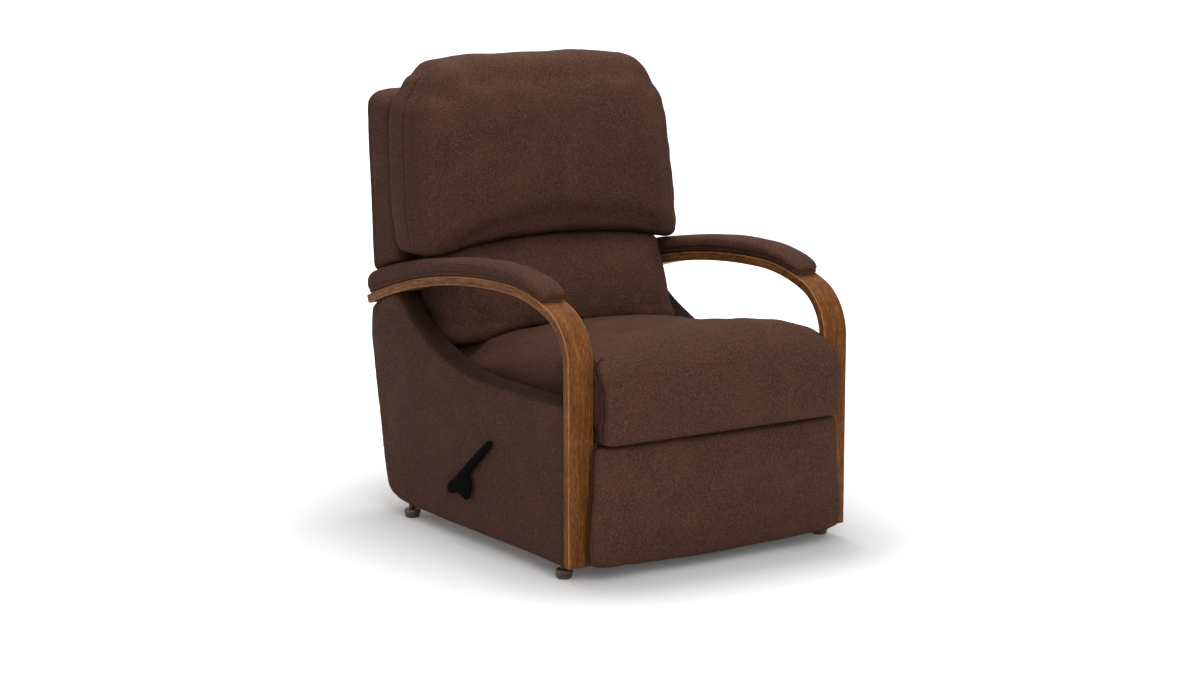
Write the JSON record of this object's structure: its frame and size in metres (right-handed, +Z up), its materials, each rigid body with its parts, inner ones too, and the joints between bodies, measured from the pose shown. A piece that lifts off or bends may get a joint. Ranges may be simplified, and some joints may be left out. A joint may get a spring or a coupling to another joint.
{
  "type": "recliner",
  "caption": "Upholstered wall-saver recliner with bentwood arms, padded armrests, a reclining back on a sliding seat and a lever-worked folding legrest.",
  "frame": {"origin": "on the floor under the middle of the chair, midway along its depth", "axes": "+Z up; the sitter faces -Y; +X is on the sitter's left, so the handle is on -X"},
  "size_m": [0.741, 0.9335, 1.034],
  "materials": {
    "upholstery": "matt grained hide",
    "bentwood": "satin stained laminate",
    "frame_timber": "bare",
    "mechanism_steel": "dull",
    "zinc_steel": "zinc plated",
    "glide_metal": "dark bronze",
    "handle_black": "satin black",
    "nylon": "natural"
  },
  "bodies": {
    "base": {"side_panel_left": "upholstery", "side_panel_right": "upholstery", "side_board_left": "frame_timber", "side_board_right": "frame_timber", "arm_left": "bentwood", "arm_right": "bentwood", "arm_pad_left": "upholstery", "arm_pad_right": "upholstery", "arm_pad_screws": "zinc_steel", "leg_bolts": "zinc_steel", "front_rail": "frame_timber", "rear_rail": "frame_timber", "track_left": "mechanism_steel", "track_right": "mechanism_steel", "track_screws": "zinc_steel", "front_glides": "glide_metal", "rear_glides": "glide_metal", "shaft_bushing": "nylon"},
    "carriage": {"carriage_plate_left": "mechanism_steel", "carriage_plate_right": "mechanism_steel", "glide_blocks": "nylon", "link_pivot_pins": "zinc_steel", "back_pivot_pins": "zinc_steel", "seat_frame": "frame_timber", "seat_springs": "mechanism_steel", "frame_bolts": "zinc_steel", "seat_cushion": "upholstery"},
    "back": {"back_frame": "frame_timber", "back_springs": "mechanism_steel", "back_bracket_left": "mechanism_steel", "back_bracket_right": "mechanism_steel", "bracket_bolts": "zinc_steel", "back_shell": "upholstery", "back_wing_left": "upholstery", "back_wing_right": "upholstery", "back_pillow": "upholstery", "lumbar_cushion": "upholstery"},
    "front_links": {"front_link_left": "mechanism_steel", "front_link_right": "mechanism_steel", "cross_tube": "zinc_steel"},
    "rear_links": {"rear_link_left": "mechanism_steel", "rear_link_right": "mechanism_steel"},
    "lower_links": {"lower_link_left": "mechanism_steel", "lower_link_right": "mechanism_steel", "lower_link_pins": "zinc_steel"},
    "upper_links": {"upper_link_left": "mechanism_steel", "upper_link_right": "mechanism_steel", "upper_link_pins": "zinc_steel"},
    "legrest": {"legrest_board": "frame_timber", "legrest_bracket_left": "mechanism_steel", "legrest_bracket_right": "mechanism_steel", "legrest_pins": "zinc_steel", "bracket_screws": "zinc_steel", "legrest_pad": "upholstery"},
    "handle": {"handle_lever": "handle_black", "drive_shaft": "mechanism_steel", "drive_crank": "mechanism_steel", "handle_screw": "zinc_steel"},
    "drive_rod": {"drive_rod": "mechanism_steel"}
  },
  "joints": [
    {"name": "seat_slide", "type": "slide", "parent": "base", "child": "carriage", "axis": [0, -0.9903, 0.1392], "range_m": [0, 0.06]},
    {"name": "back_recline", "type": "hinge", "parent": "carriage", "child": "back", "pos_m": [0, 0.4, 0.31], "axis": [-1, 0, 0], "range_deg": [0, 26]},
    {"name": "front_link_swing", "type": "hinge", "parent": "carriage", "child": "front_links", "pos_m": [0, -0.33, 0.258], "axis": [-1, 0, 0], "range_deg": [0, 88]},
    {"name": "rear_link_swing", "type": "hinge", "parent": "carriage", "child": "rear_links", "pos_m": [0, -0.28081, 0.22726], "axis": [-1, 0, 0], "range_deg": [0, 88]},
    {"name": "lower_link_turn", "type": "hinge", "parent": "front_links", "child": "lower_links", "pos_m": [0, -0.28095, 0.07496], "axis": [-1, 0, 0], "range_deg": [-88, 0]},
    {"name": "upper_link_turn", "type": "hinge", "parent": "front_links", "child": "upper_links", "pos_m": [0, -0.28095, 0.12296], "axis": [-1, 0, 0], "range_deg": [-88, 0]},
    {"name": "legrest_turn", "type": "hinge", "parent": "lower_links", "child": "legrest", "pos_m": [0, -0.38592, 0.22486], "axis": [-1, 0, 0], "range_deg": [0, 88]},
    {"name": "handle_turn", "type": "hinge", "parent": "base", "child": "handle", "pos_m": [0, 0.0335, 0.122], "axis": [-1, 0, 0], "range_deg": [0, 88]},
    {"name": "drive_rod_turn", "type": "hinge", "parent": "front_links", "child": "drive_rod", "pos_m": [0, -0.32068, 0.22323], "axis": [-1, 0, 0], "range_deg": [-88, 0]}
  ],
  "couplings": [
    {"joint": "back_recline", "follows": "seat_slide", "rad_per_m": 7.5631},
    {"joint": "rear_link_swing", "follows": "front_link_swing", "ratio": 1},
    {"joint": "lower_link_turn", "follows": "front_link_swing", "ratio": -1},
    {"joint": "upper_link_turn", "follows": "front_link_swing", "ratio": -1},
    {"joint": "legrest_turn", "follows": "front_link_swing", "ratio": 1},
    {"joint": "handle_turn", "follows": "front_link_swing", "ratio": 1},
    {"joint": "drive_rod_turn", "follows": "front_link_swing", "ratio": -1}
  ]
}
